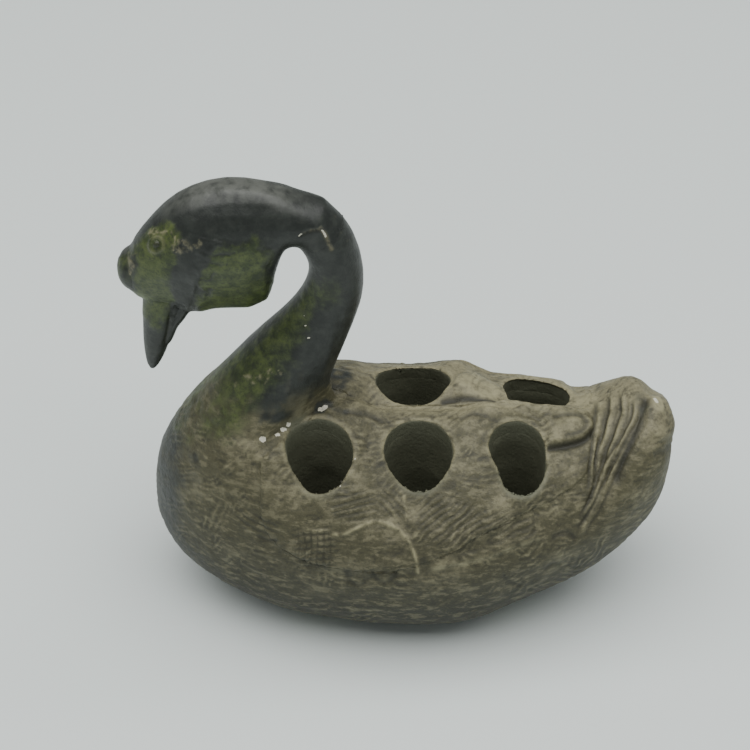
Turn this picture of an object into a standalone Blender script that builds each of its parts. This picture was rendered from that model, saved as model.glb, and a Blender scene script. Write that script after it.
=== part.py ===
"""Flower frog: a small hand-modelled glazed-clay water bird with five stem wells in its back.

Metres, +Z up.  The head looks along -X, the tail along +X.  The origin is the middle of the flat foot.
"""

import math

import bmesh
import bpy
from mathutils import Matrix, Vector

MM = 0.001
GAP = 0.3 * MM                 # open joint line left between neighbouring pieces

# hull
HULL_LENGTH = 100.0 * MM       # breast to tip of tail
HULL_WIDTH = 54.0 * MM
WAIST_HEIGHT = 20.0 * MM       # height of the widest line of the hull
BACK_HEIGHT = 42.5 * MM        # height of the centre line of the back
KEEL_DEPTH = 1.4 * MM          # how far the round bottom is ground off to make the foot
TAIL_JOINT = 31.5 * MM         # x of the joint between hull and tail at waist height
TAIL_SLANT = 0.22              # forward lean of that joint

# wings
WING_FRONT = -28.0 * MM
WING_BACK = TAIL_JOINT - 1.0 * MM
WING_THICKNESS = 2.6 * MM
WING_RAISE = 0.7 * MM          # how far a wing stands proud of the hull
SPINE_RIB = 1.0 * MM           # low rib of the hull left standing between the wings

# stem wells
WELL_DIAMETER = 12.6 * MM
WELL_FLOOR = 6.0 * MM
WELL_PITCH = 18.5 * MM         # spacing of the three wells of the left row
LEFT_ROW = -10.6 * MM
RIGHT_ROW = 7.2 * MM

# tail
TAIL_TOP = 45.6 * MM

# neck and head
NECK_SEAM = 44.5 * MM          # height of the flat joint under the neck
NECK_ROOT = Vector((-27.6 * MM, 0.0, NECK_SEAM))
NECK_ROOT_LENGTH = 27.0 * MM
NECK_ROOT_WIDTH = 24.0 * MM
ROOT_NARROWING = 0.75          # how much narrower the back of the root is than its front
NECK_TOP = Vector((-16.2 * MM, 0.0, 83.2 * MM))
NECK_TOP_DIAMETER = 9.6 * MM
HEAD_WIDTH = 15.2 * MM
CROWN_HEIGHT = 94.5 * MM
CROWN_X = -32.0 * MM
HOOK_X = -20.5 * MM            # where the head's roll has turned over to run level
CHEEK_BACK = -26.4 * MM        # rear edge of the cheek lobe
JAW_HEIGHT = 67.3 * MM         # underside of the hanging cheek lobe
FACE_X = -51.6 * MM            # foremost point of the face
FACE_HEIGHT = 75.2 * MM

# bill, knob and eyes
BILL_ROOT = Vector((-45.0 * MM, 0.0, 70.0 * MM))
BILL_TIP = Vector((-48.4 * MM, 0.0, 51.7 * MM))
BILL_ROOT_DEPTH = 7.2 * MM
BILL_ROOT_WIDTH = 7.0 * MM
LOWER_BILL_ROOT = Vector((-41.4 * MM, 0.0, 68.5 * MM))
LOWER_BILL_TIP = Vector((-46.3 * MM, 0.0, 55.2 * MM))
LOWER_BILL_DEPTH = 2.5 * MM
KNOB_HEIGHT = 8.6 * MM
EYE_DIAMETER = 2.2 * MM
EYE_X = -45.1 * MM
EYE_Z = 84.2 * MM

AROUND = 36                    # points around a hull section
MATERIALS = {
    "body_glaze": ((0.20, 0.18, 0.13, 1.0), 0.55),
    "wing_glaze": ((0.23, 0.20, 0.15, 1.0), 0.6),
    "tail_glaze": ((0.24, 0.21, 0.15, 1.0), 0.6),
    "neck_glaze": ((0.07, 0.08, 0.06, 1.0), 0.4),
    "head_glaze": ((0.08, 0.10, 0.05, 1.0), 0.4),
    "bill_glaze": ((0.09, 0.10, 0.06, 1.0), 0.4),
    "knob_glaze": ((0.07, 0.08, 0.06, 1.0), 0.4),
    "eye_glaze": ((0.02, 0.03, 0.02, 1.0), 0.3),
}


def clear_scene():
    for thing in list(bpy.data.objects):
        bpy.data.objects.remove(thing, do_unlink=True)
    for mesh in list(bpy.data.meshes):
        bpy.data.meshes.remove(mesh)


def glaze(name):
    found = bpy.data.materials.get(name)
    if found:
        return found
    colour, roughness = MATERIALS[name]
    material = bpy.data.materials.new(name)
    material.use_nodes = True
    shader = material.node_tree.nodes["Principled BSDF"]
    shader.inputs["Base Color"].default_value = colour
    shader.inputs["Roughness"].default_value = roughness
    return material


def smooth_step(value):
    value = min(1.0, max(0.0, value))
    return value * value * (3.0 - 2.0 * value)


def blend(first, second, share):
    return first + (second - first) * share


def dome(fraction, power):
    """Height of a superellipse quarter at a fraction of its length."""
    fraction = min(1.0, abs(fraction))
    return (1.0 - fraction ** power) ** (1.0 / power)


def signed_power(value, power):
    return math.copysign(abs(value) ** power, value)


def lofted(name, rings, material):
    """A closed body through a row of rings that have the same number of points."""
    mesh = bpy.data.meshes.new(name)
    form = bmesh.new()
    loops = [[form.verts.new(point) for point in ring] for ring in rings]
    count = len(loops[0])
    for low, high in zip(loops, loops[1:]):
        for index in range(count):
            after = (index + 1) % count
            form.faces.new((low[index], low[after], high[after], high[index]))
    form.faces.new(tuple(reversed(loops[0])))
    form.faces.new(tuple(loops[-1]))
    bmesh.ops.remove_doubles(form, verts=form.verts, dist=0.01 * MM)
    bmesh.ops.recalc_face_normals(form, faces=form.faces)
    form.to_mesh(mesh)
    form.free()
    piece = bpy.data.objects.new(name, mesh)
    bpy.context.scene.collection.objects.link(piece)
    mesh.materials.append(glaze(material))
    return piece


def combine(piece, other, operation):
    """Apply an exact Boolean and remove the second body."""
    step = piece.modifiers.new("step", "BOOLEAN")
    step.operation = operation
    step.solver = "EXACT"
    step.object = other
    bpy.context.view_layer.update()
    graph = bpy.context.evaluated_depsgraph_get()
    result = bpy.data.meshes.new_from_object(piece.evaluated_get(graph))
    piece.modifiers.clear()
    old = piece.data
    piece.data = result
    result.name = piece.name
    bpy.data.meshes.remove(old)
    bpy.data.objects.remove(other, do_unlink=True)


def slice_flat(piece, height, upper):
    """Slice off what lies under (or over) a level and close the cut with one flat face."""
    form = bmesh.new()
    form.from_mesh(piece.data)
    everything = form.verts[:] + form.edges[:] + form.faces[:]
    cut = bmesh.ops.bisect_plane(
        form, geom=everything, dist=0.001 * MM, plane_co=(0.0, 0.0, height),
        plane_no=(0.0, 0.0, 1.0), clear_inner=not upper, clear_outer=upper)
    rim = [item for item in cut["geom_cut"] if isinstance(item, bmesh.types.BMEdge)]
    bmesh.ops.contextual_create(form, geom=rim)
    bmesh.ops.recalc_face_normals(form, faces=form.faces)
    form.to_mesh(piece.data)
    form.free()


def neck_edge(x):
    """Half width of the neck's root at one station; it narrows to a point at the back."""
    along = (x - NECK_ROOT.x) / (NECK_ROOT_LENGTH / 2)
    if abs(along) >= 1.0:
        return 0.0
    return NECK_ROOT_WIDTH / 2 * dome(along, 2.0) * (1.0 - ROOT_NARROWING * max(0.0, along))


def hull_size(x):
    """Half width, underside, waist and top of the hull at one station."""
    share = x / (HULL_LENGTH / 2)
    root_front = NECK_ROOT.x - NECK_ROOT_LENGTH / 2
    root_back = NECK_ROOT.x + NECK_ROOT_LENGTH / 2
    rise = NECK_SEAM - WAIST_HEIGHT
    if x < 0:
        half_width = HULL_WIDTH / 2 * dome(share, 1.85)
        waist = WAIST_HEIGHT
        low = waist - (waist + KEEL_DEPTH) * dome(share, 2.2)
        if x < root_front:
            front_share = root_front / (HULL_LENGTH / 2)
            top = waist + rise * dome(share, 2.0) / dome(front_share, 2.0)
        elif x < root_back:
            top = waist + rise / dome(neck_edge(x) / half_width, 2.0)
        else:
            settle = smooth_step((x - root_back) / (9 * MM))
            top = blend(NECK_SEAM, BACK_HEIGHT, settle)
    else:
        half_width = HULL_WIDTH / 2 * dome(share, 1.75)
        dip = 0.05 * smooth_step((share - 0.3) / 0.3)
        top = BACK_HEIGHT * (1.0 - dip)
        waist = WAIST_HEIGHT * (1.0 + 0.3 * smooth_step(share))
        low = waist - (waist + KEEL_DEPTH) * dome(share, 2.0)
    return half_width, low, waist, top


def back_power(x, side):
    """Fullness of the upper flank; the right one is a little fuller behind the neck."""
    if side >= 0:
        return 2.0
    return blend(2.0, 1.65, smooth_step((x + 16 * MM) / (14 * MM)))


def hull_point(x, angle, grow=0.0):
    """A point of the hull section; angle 0 is the right side, a quarter turn is the back."""
    half_width, low, waist, top = hull_size(x)
    side = math.cos(angle)
    rise = math.sin(angle)
    if rise >= 0:
        power = back_power(x, side)
        height = top - waist + grow
    else:
        power = 2.5
        height = waist - low + grow
    y = (half_width + grow) * signed_power(side, 2.0 / power)
    z = waist + height * signed_power(rise, 2.0 / power)
    lean = TAIL_SLANT * smooth_step((x - TAIL_JOINT) / (22 * MM) + 1.05)
    return Vector((x + lean * (z - WAIST_HEIGHT), y, z))


def section(x, grow=0.0, around=AROUND):
    return [hull_point(x, 2 * math.pi * index / around, grow) for index in range(around)]


def hull_form():
    stations = []
    steps = 17
    for index in range(steps):
        share = math.cos(math.pi / 2 * (index + 0.35) / steps)
        stations.append(-HULL_LENGTH / 2 * share)
    steps = 9
    for index in range(steps + 1):
        stations.append((TAIL_JOINT - GAP / 2) * index / steps)
    return lofted("body", [section(x) for x in stations], "body_glaze")


def ring(centre, outward, half_depth, half_width, power=2.0, narrowing=0.0, around=24):
    """A flat ring across the Y axis that narrows towards its `outward` side."""
    points = []
    for index in range(around):
        angle = 2 * math.pi * index / around
        along = signed_power(math.cos(angle), 2.0 / power)
        across = half_width * signed_power(math.sin(angle), 2.0 / power)
        across *= 1.0 - narrowing * max(0.0, along)
        points.append(centre + outward * half_depth * along + Vector((0.0, across, 0.0)))
    return points


def wing_angles(x, share, side, grow, count):
    """Angles across a wing at one station; growing moves only the two outermost ones."""
    half_width = hull_size(x)[0] - WING_THICKNESS + WING_RAISE
    power = back_power(x, side)
    clearance = 1.2 * MM * (1.0 - smooth_step((x - NECK_ROOT.x - 10 * MM) / (6 * MM)))
    start = max(SPINE_RIB / 2 + GAP, neck_edge(x) + clearance)
    edge = min(0.9, start / half_width)
    high_angle = math.acos(edge ** (power / 2))
    limit = math.acos((edge - grow / half_width) ** (power / 2))
    travel = (x - WING_FRONT) / (WING_BACK - WING_FRONT)
    low_angle = blend(0.05, 0.6, smooth_step(travel))
    reach = dome(share, 2.6)
    centre = blend(low_angle, high_angle, 0.55)
    low_angle = blend(centre, low_angle, reach)
    if x > 0:
        high_angle = blend(centre, high_angle, min(1.0, 1.7 * reach))
    angles = [blend(low_angle, high_angle, place / count) for place in range(count + 1)]
    if grow > 0:
        angles[0] -= 2.0 * grow / half_width
        angles[-1] = min(limit, angles[-1] + 2.0 * grow / half_width)
    return angles


def wing_slab(name, side, grow):
    """A slab that follows the upper flank; grow adds clearance all round it."""
    inner = -WING_THICKNESS + WING_RAISE - 1.5 * grow
    outer = WING_RAISE if grow == 0 else WING_RAISE + 6 * MM
    across = 11
    lengthwise = 20
    half_span = (WING_BACK - WING_FRONT) / 2
    middle = (WING_BACK + WING_FRONT) / 2
    columns = []
    for step in range(lengthwise + 1):
        share = -math.cos(math.pi * (step + 0.3) / (lengthwise + 0.6))
        x = middle + half_span * share
        if step in (0, lengthwise):
            x += math.copysign(1.5 * grow, share)
        angles = wing_angles(x, share, side, grow, across)
        column = []
        for depth, order in ((outer, angles), (inner, reversed(angles))):
            for angle in order:
                if side < 0:
                    angle = math.pi - angle
                column.append(hull_point(x, angle, depth))
        columns.append(column)
    return lofted(name, columns, "wing_glaze")


def wells():
    """Centre and half sizes of every stem well, left row first."""
    radius = WELL_DIAMETER / 2
    middle = 1.3 * MM
    return [
        (middle - WELL_PITCH, LEFT_ROW - 1.9 * MM, radius, radius),
        (middle, LEFT_ROW, radius, radius),
        (middle + WELL_PITCH, LEFT_ROW, radius * 0.9, radius),
        (middle - 0.8 * MM, RIGHT_ROW, radius * 1.15, radius),
        (middle + 22.8 * MM, RIGHT_ROW, radius * 1.04, radius * 0.97),
    ]


def well_cutter(well, top):
    x, y, half_length, half_width = well
    around = 24
    rings = []
    for z, shrink in ((WELL_FLOOR, 0.8), (WELL_FLOOR + 1.5 * MM, 1.0), (top, 1.0)):
        points = []
        for index in range(around):
            angle = 2 * math.pi * index / around
            points.append(Vector((x + half_length * shrink * math.cos(angle),
                                  y + half_width * shrink * math.sin(angle), z)))
        rings.append(points)
    return lofted("well", rings, "body_glaze")


def bore(piece, chosen):
    for well in chosen:
        combine(piece, well_cutter(well, BACK_HEIGHT + 12 * MM), "DIFFERENCE")


def make_body():
    body = hull_form()
    slice_flat(body, 0.0, False)
    slice_flat(body, NECK_SEAM - GAP, True)
    for side in (-1, 1):
        combine(body, wing_slab("recess", side, GAP), "DIFFERENCE")
    bore(body, wells())
    return body


def make_wing(name, side):
    wing = wing_slab(name, side, 0.0)
    row = [well for well in wells() if (well[1] > 0) == (side > 0)]
    bore(wing, row)
    return wing


def tail_size(share):
    """Half width, underside, waist and top of the tail from joint to tip."""
    half_width, low, waist, top = hull_size(TAIL_JOINT)
    lift = math.sin(math.pi / 2 * min(1.0, share / 0.6))
    top = blend(top, TAIL_TOP, lift)
    waist = blend(waist, 32 * MM, smooth_step(share))
    close = dome(share, 3.6)
    half_width = half_width * (0.55 + 0.45 * (1.0 - share)) * close
    top = waist + (top - waist) * close
    low = waist - (waist - low) * blend(1.0, 0.5, share) * close
    return half_width, low, waist, top


def make_tail():
    rings = []
    start = TAIL_JOINT + GAP / 2
    steps = 11
    for step in range(steps + 1):
        share = math.sin(math.pi / 2 * step / steps) * 0.995
        half_width, low, waist, top = tail_size(share)
        x = blend(start, HULL_LENGTH / 2 - 1.0 * MM, share)
        lean = blend(TAIL_SLANT, 0.06, share)
        points = []
        for index in range(AROUND):
            angle = 2 * math.pi * index / AROUND
            rise = math.sin(angle)
            side = math.cos(angle)
            power = 2.5
            if rise >= 0:
                power = blend(back_power(TAIL_JOINT, side), 2.3, share)
            height = top - waist if rise >= 0 else waist - low
            z = waist + height * signed_power(rise, 2.0 / power)
            y = half_width * signed_power(side, 2.0 / power)
            points.append(Vector((x + lean * (z - WAIST_HEIGHT), y, z)))
        rings.append(points)
    return lofted("tail", rings, "tail_glaze")


def neck_centre(share):
    """Point and direction of the neck's curved middle line."""
    root = NECK_ROOT
    low = NECK_ROOT + Vector((3.0 * MM, 0.0, 10.5 * MM))
    high = NECK_TOP + Vector((8.7 * MM, 0.0, -12.7 * MM))
    rest = 1.0 - share
    point = (root * rest ** 3 + low * 3 * rest ** 2 * share
             + high * 3 * rest * share ** 2 + NECK_TOP * share ** 3)
    direction = ((low - root) * rest ** 2 + (high - low) * 2 * rest * share
                 + (NECK_TOP - high) * share ** 2)
    return point, direction.normalized()


def make_neck():
    rings = []
    steps = 16
    for step in range(steps + 1):
        share = step / steps
        centre, direction = neck_centre(share)
        upright = Vector((0.0, 0.0, 1.0))
        direction = upright.lerp(direction, smooth_step(share / 0.35)).normalized()
        outward = Vector((direction.z, 0.0, -direction.x))
        taper = (1.0 - share) ** 2.45
        half_depth = blend(NECK_TOP_DIAMETER, NECK_ROOT_LENGTH, taper) / 2
        half_width = blend(NECK_TOP_DIAMETER, NECK_ROOT_WIDTH, taper) / 2
        narrowing = ROOT_NARROWING * (1.0 - smooth_step(share / 0.45))
        rings.append(ring(centre, outward, half_depth, half_width, 2.0, narrowing))
    return lofted("neck", rings, "neck_glaze")


def head_outline(x):
    """Top and bottom of the head at one station."""
    if x < CROWN_X:
        share = (CROWN_X - x) / (CROWN_X - FACE_X)
        top = FACE_HEIGHT + (CROWN_HEIGHT - FACE_HEIGHT) * dome(share, 1.7)
        low = FACE_HEIGHT - (FACE_HEIGHT - JAW_HEIGHT) * dome(share, 3.0)
    else:
        share = (x - CROWN_X) / (12 * MM)
        top = CROWN_HEIGHT - 4.2 * MM * share ** 2
        low = JAW_HEIGHT + 14.5 * MM * smooth_step((x + 27.6 * MM) / (5.6 * MM))
    return low, top


def turned(points):
    """Start a ring half a turn further on, so it lines up with rings that face the other way."""
    half = len(points) // 2
    order = [(half - index) % len(points) for index in range(len(points))]
    return [points[index] for index in order]


def make_head():
    neck_end, direction = neck_centre(1.0)
    start = neck_end + direction * GAP
    outward = Vector((direction.z, 0.0, -direction.x))
    radius = NECK_TOP_DIAMETER / 2
    rings = [ring(start, outward, radius, radius)]
    low, top = head_outline(HOOK_X)
    joined = Vector((HOOK_X, 0.0, (low + top) / 2))
    middle = start.lerp(joined, 0.5) + Vector((0.4 * MM, 0.0, 0.5 * MM))
    rings.append(ring(middle, Vector((0.5, 0.0, 0.87)), radius * 1.02, radius))
    steps = 6
    stations = [blend(HOOK_X, CHEEK_BACK, index / steps) for index in range(steps)]
    steps = 12
    for index in range(steps + 1):
        share = math.sin(math.pi / 2 * 0.985 * index / steps)
        stations.append(blend(CHEEK_BACK, FACE_X, share))
    for x in stations:
        low, top = head_outline(x)
        size = (top - low) / 2
        share = min(1.0, (x - NECK_TOP.x) / (CROWN_X - NECK_TOP.x))
        half_width = blend(NECK_TOP_DIAMETER, HEAD_WIDTH, smooth_step(share)) / 2
        if x < CROWN_X:
            half_width *= dome((CROWN_X - x) / (CROWN_X - FACE_X), 2.3)
        tilt = Vector((-0.2 if x == HOOK_X else 0.0, 0.0, -1.0)).normalized()
        centre = Vector((x, 0.0, (low + top) / 2))
        thinning = 0.38 * smooth_step((size - 6 * MM) / (5 * MM))
        rings.append(turned(ring(centre, tilt, size, half_width, 2.2, thinning)))
    return lofted("head", rings, "head_glaze")


def bill_form(name, root, tip, depth, width, grow):
    """A tapering round-ended horn; its upper end sits inside the head."""
    rings = []
    steps = 10
    axis = (tip - root).normalized()
    outward = Vector((-axis.z, 0.0, axis.x))
    length = (tip - root).length + grow
    for step in range(steps + 1):
        share = math.sin(math.pi / 2 * step / steps)
        centre = root - axis * grow + axis * (length + grow) * share
        taper = dome(share * 0.99, 1.9) * (1.0 - 0.18 * share)
        rings.append(ring(centre, outward, depth / 2 * taper + grow, width / 2 * taper + grow,
                          around=18))
    return lofted(name, rings, "bill_glaze")


def upper_bill(name="upper_bill", grow=0.0):
    return bill_form(name, BILL_ROOT, BILL_TIP, BILL_ROOT_DEPTH, BILL_ROOT_WIDTH, grow)


def lower_bill(name="lower_bill", grow=0.0):
    return bill_form(name, LOWER_BILL_ROOT, LOWER_BILL_TIP, LOWER_BILL_DEPTH,
                     BILL_ROOT_WIDTH * 0.8, grow)


def pellet(name, centre, sizes, grow, material, around=16):
    """A rounded lump of clay."""
    rings = []
    steps = 9
    for step in range(steps):
        angle = math.pi * (step + 0.5) / steps
        points = []
        for index in range(around):
            turn = 2 * math.pi * index / around
            points.append(centre + Vector((
                (sizes[0] + grow) * math.sin(angle) * math.cos(turn),
                (sizes[1] + grow) * math.sin(angle) * math.sin(turn),
                (sizes[2] + grow) * -math.cos(angle))))
        rings.append(points)
    return lofted(name, rings, material)


def knob(name="bill_knob", grow=0.0):
    half = KNOB_HEIGHT / 2
    centre = Vector((FACE_X + 1.4 * MM, 0.0, FACE_HEIGHT + 0.4 * MM))
    return pellet(name, centre, (half * 0.62, half * 0.85, half), grow, "knob_glaze")


def eye(name, side, grow=0.0):
    half = EYE_DIAMETER / 2
    centre = Vector((EYE_X, side * 4.5 * MM, EYE_Z))
    return pellet(name, centre, (half, half * 0.75, half), grow, "eye_glaze", 12)


def make_head_group():
    head = make_head()
    upper = upper_bill()
    lower = lower_bill()
    combine(lower, upper_bill("cut", GAP), "DIFFERENCE")
    combine(head, upper_bill("cut", GAP), "DIFFERENCE")
    combine(head, lower_bill("cut", GAP), "DIFFERENCE")
    lump = knob()
    combine(head, knob("cut", GAP), "DIFFERENCE")
    combine(upper, knob("cut", GAP), "DIFFERENCE")
    for name, side in (("left_eye", -1), ("right_eye", 1)):
        eye(name, side)
        combine(head, eye("cut", side, GAP), "DIFFERENCE")
    return head, upper, lower, lump


def main():
    clear_scene()
    make_body()
    make_wing("left_wing", -1)
    make_wing("right_wing", 1)
    make_tail()
    make_neck()
    make_head_group()


main()
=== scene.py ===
import math

import bpy
import numpy as np
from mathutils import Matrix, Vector
from mathutils.bvhtree import BVHTree


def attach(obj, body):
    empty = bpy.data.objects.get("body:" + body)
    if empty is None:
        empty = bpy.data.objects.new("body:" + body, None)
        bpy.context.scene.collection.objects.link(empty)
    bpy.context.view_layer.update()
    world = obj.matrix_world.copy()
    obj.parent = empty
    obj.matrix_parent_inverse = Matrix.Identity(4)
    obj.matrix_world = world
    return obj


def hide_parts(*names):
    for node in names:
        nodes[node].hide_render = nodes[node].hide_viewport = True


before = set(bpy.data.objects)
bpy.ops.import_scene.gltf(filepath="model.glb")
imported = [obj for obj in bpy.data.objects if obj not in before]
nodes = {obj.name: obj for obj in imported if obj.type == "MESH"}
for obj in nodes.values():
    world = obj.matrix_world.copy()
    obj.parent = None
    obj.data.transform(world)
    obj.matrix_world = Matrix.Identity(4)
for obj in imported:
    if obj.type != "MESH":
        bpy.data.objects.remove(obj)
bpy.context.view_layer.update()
mm = 0.001

# The bird is worked from one slanted side: lengths run along x and heights up a plane that leans
# back by this angle, so a mark on the flank and a mark on the back share one drawing. The camera
# looks down by the same angle.
lean = math.radians(41)
leanRise = math.cos(lean)
leanBack = math.sin(lean)


def deselectAll():
    if bpy.context.object and bpy.context.object.mode != "OBJECT":
        bpy.ops.object.mode_set(mode="OBJECT")
    bpy.ops.object.select_all(action="DESELECT")


def pick(piece):
    deselectAll()
    piece.select_set(True)
    bpy.context.view_layer.objects.active = piece


def applyAll(piece):
    pick(piece)
    for step in list(piece.modifiers):
        bpy.ops.object.modifier_apply(modifier=step.name)


def clayFrom(name, nodeNames, fatten):
    # copies of the plain solids, merged and swollen a little so that neighbours meet
    deselectAll()
    for nodeName in nodeNames:
        copy = bpy.data.objects.new(name, nodes[nodeName].data.copy())
        bpy.context.scene.collection.objects.link(copy)
        copy.select_set(True)
        bpy.context.view_layer.objects.active = copy
    if len(nodeNames) > 1:
        bpy.ops.object.join()
    piece = bpy.context.object
    piece.name = name
    piece.data.name = name
    piece.data.materials.clear()
    bpy.ops.object.mode_set(mode="EDIT")
    bpy.ops.mesh.select_all(action="SELECT")
    bpy.ops.mesh.remove_doubles(threshold=0.00001)
    bpy.ops.object.mode_set(mode="OBJECT")
    swell = piece.modifiers.new("swell", "DISPLACE")
    swell.strength = fatten
    swell.mid_level = 0.0
    applyAll(piece)
    return piece


def remesh(piece, size):
    pick(piece)
    piece.data.remesh_voxel_size = size
    bpy.ops.object.voxel_remesh()


def relax(piece, times, factor=0.5):
    smooth = piece.modifiers.new("smooth", "SMOOTH")
    smooth.factor = factor
    smooth.iterations = times
    applyAll(piece)


def thinOut(piece, most):
    # fewer faces where the clay is plain
    triangles = sum(len(face.vertices) - 2 for face in piece.data.polygons)
    if triangles > most:
        fewer = piece.modifiers.new("fewer", "DECIMATE")
        fewer.ratio = most / triangles
        applyAll(piece)


def coordsOf(mesh):
    flat = np.empty(len(mesh.vertices) * 3, np.float32)
    mesh.vertices.foreach_get("co", flat)
    return flat.reshape(-1, 3).astype(np.float64) / mm


def normalsOf(mesh):
    flat = np.empty(len(mesh.vertices) * 3, np.float32)
    mesh.vertex_normals.foreach_get("vector", flat)
    return flat.reshape(-1, 3).astype(np.float64)


def setCoords(mesh, coords):
    mesh.vertices.foreach_set("co", (coords * mm).astype(np.float32).ravel())
    mesh.update()


def paint(mesh, name, values):
    layer = mesh.attributes.get(name) or mesh.attributes.new(name, "FLOAT", "POINT")
    layer.data.foreach_set("value", np.clip(values, 0.0, 1.0).astype(np.float32))


# From here to the finished pieces, lengths are in millimetres.

def ramp(low, high, value):
    share = np.clip((value - low) / (high - low), 0.0, 1.0)
    return share * share * (3.0 - 2.0 * share)


def hills(points, size, seed=0):
    # smooth random hills between -1 and 1
    scaled = points / size + 57.0 + seed * 13.7
    cell = np.floor(scaled).astype(np.int64)
    part = scaled - cell
    part = part * part * (3.0 - 2.0 * part)
    total = np.zeros(len(points))
    dimensions = points.shape[1]
    for corner in range(2 ** dimensions):
        key = np.full(len(points), seed * 2654435 + 97, np.int64)
        share = np.ones(len(points))
        for axis in range(dimensions):
            step = corner >> axis & 1
            key = key ^ (cell[:, axis] + step) * (73856093, 19349663, 83492791)[axis]
            share = share * (part[:, axis] if step else 1.0 - part[:, axis])
        key = (key ^ (key >> 13)) * 1274126177 & 0x7FFFFFFF
        key = (key ^ (key >> 15)) * 668265263 & 0x7FFFFFFF
        total += ((key >> 7) % 10007 / 5003.0 - 1.0) * share
    return total


def cloudy(points, size, seed=0, layers=3):
    total = np.zeros(len(points))
    for layer in range(layers):
        total += hills(points, size / 2.1 ** layer, seed + 5 * layer) / 1.8 ** layer
    return total


def curveThrough(points, steps=6):
    # a smooth line through the given points
    ends = [points[0]] + list(points) + [points[-1]]
    line = []
    for a, b, c, d in zip(ends, ends[1:], ends[2:], ends[3:]):
        a, b, c, d = (np.array(point, float) for point in (a, b, c, d))
        for step in range(steps):
            t = step / steps
            line.append(0.5 * (2 * b + (c - a) * t + (2 * a - 5 * b + 4 * c - d) * t * t
                               + (3 * b - a - 3 * c + d) * t ** 3))
    line.append(np.array(points[-1], float))
    return np.array(line)


def lineDistance(flat, line):
    # distance to a line, the side of it, and how far along it
    best = np.full(len(flat), 1e9)
    side = np.zeros(len(flat))
    along = np.zeros(len(flat))
    count = len(line) - 1
    for index in range(count):
        start = line[index]
        run = line[index + 1] - start
        length = float(run @ run) or 1e-9
        away = flat - start
        share = np.clip(away @ run / length, 0.0, 1.0)
        gap = away - share[:, None] * run
        distance = np.hypot(gap[:, 0], gap[:, 1])
        closer = distance < best
        best[closer] = distance[closer]
        turn = run[0] * away[:, 1] - run[1] * away[:, 0]
        side[closer] = np.sign(turn[closer])
        along[closer] = (index + share[closer]) / count
    return best, side, along


# The whole bird in one lump, with its joints closed and its corners softened: every piece takes its
# surface from here, so the joints lie flush.
lumpSettings = {"fatten": 0.22 * mm, "voxel": 0.55 * mm, "soften": 9}

bird = clayFrom("bird", list(nodes), lumpSettings["fatten"])
remesh(bird, lumpSettings["voxel"])
relax(bird, lumpSettings["soften"])
birdPoints = coordsOf(bird.data)
birdNormals = normalsOf(bird.data)
birdFaces = [tuple(face.vertices) for face in bird.data.polygons]
birdTree = BVHTree.FromPolygons([tuple(point) for point in birdPoints], birdFaces)
print("the whole lump", len(birdFaces), "faces")


def nearestOnBird(points):
    # nearest point of the lump, with its soft normal
    places = np.empty_like(points)
    normals = np.empty_like(points)
    for index, point in enumerate(points):
        place, flat, face, gap = birdTree.find_nearest(point)
        places[index] = place
        corners = birdFaces[face]
        total = np.zeros(3)
        for corner in corners:
            reach = birdPoints[corner] - place
            total += birdNormals[corner] / (0.02 + reach @ reach)
        normals[index] = total
    normals /= np.linalg.norm(normals, axis=1)[:, None]
    return places, normals


def drawn(points):
    # the slanted drawing: x along, and up the leaning plane, which the hidden flank mirrors
    hidden = ramp(15.0, 18.5, points[:, 1])
    back = points[:, 1] * (1.0 - hidden) - np.abs(points[:, 1]) * hidden
    return np.stack([points[:, 0], leanRise * points[:, 2] + leanBack * back], axis=1)


def insideDistance(flat, line):
    # distance to a closed outline, positive inside it
    distance = lineDistance(flat, line)[0]
    inside = np.zeros(len(flat), bool)
    for (x1, y1), (x2, y2) in zip(line, line[1:]):
        if y1 != y2:
            crosses = (y1 > flat[:, 1]) != (y2 > flat[:, 1])
            place = (x2 - x1) * (flat[:, 1] - y1) / (y2 - y1) + x1
            inside ^= crosses & (flat[:, 0] < place)
    return np.where(inside, distance, -distance)


# the colour layers that the marks are laid in, which the shared clay material reads
layerNames = ("moss", "slate", "pale", "groove", "chip", "inside", "tan", "painted_shade", "crown_highlight")


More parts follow.
